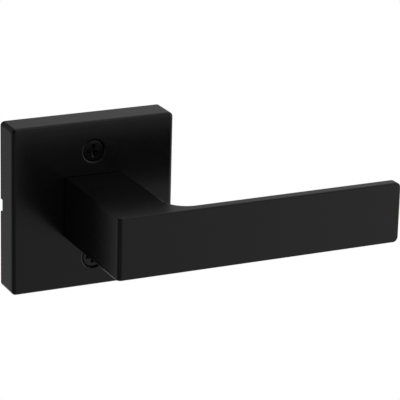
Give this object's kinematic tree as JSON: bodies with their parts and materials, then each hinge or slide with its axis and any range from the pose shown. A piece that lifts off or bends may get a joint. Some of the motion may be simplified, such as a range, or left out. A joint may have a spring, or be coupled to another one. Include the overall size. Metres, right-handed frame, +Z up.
{
  "type": "door lever handle",
  "caption": "Straight flat door lever on a square rose: an L-shaped handle on a spring-returned hub, with a square spindle and through-bolts behind.",
  "frame": {"origin": "centre of the rose's rear plane, on the spindle's axis, which is also the centre of the hole bored through the door's face", "axes": "+X along the grip, +Y into the door along the spindle, +Z up; the user stands on the -Y side"},
  "size_m": [0.138, 0.1215, 0.066],
  "materials": {
    "black_paint": "satin black powder coat on a zinc casting",
    "black_screw": "black oxide steel, slightly smoother than the rose",
    "zinc_plated_steel": "bright zinc plate on pressed steel",
    "bare_steel": "drawn steel",
    "spring_steel": "oiled spring steel",
    "white_nylon": "natural nylon",
    "black_nylon": "black nylon"
  },
  "bodies": {
    "rose": {"rose_cover": "black_paint", "mounting_plate": "zinc_plated_steel", "spring_cage": "zinc_plated_steel", "front_bushing": "white_nylon", "rear_bushing": "white_nylon", "return_spring": "spring_steel", "mounting_screw_top": "black_screw", "mounting_screw_bottom": "black_screw", "cage_rivet_1": "bare_steel", "cage_rivet_2": "bare_steel", "cage_rivet_3": "bare_steel", "cage_rivet_4": "bare_steel"},
    "lever": {"lever_handle": "black_paint", "neck_washer": "black_nylon", "drive_hub": "bare_steel", "spring_cam": "zinc_plated_steel", "spindle": "bare_steel", "set_screw": "black_screw", "wave_washer": "spring_steel", "retaining_ring": "spring_steel"}
  },
  "joints": [
    {"name": "lever_turn", "type": "hinge", "parent": "rose", "child": "lever", "pos_m": [0, 0, 0], "axis": [0, 1, 0], "range_deg": [-50, 50], "stiffness_Nm_per_rad": 0.6, "springref_deg": -4.3, "deforming": ["return_spring"]}
  ]
}
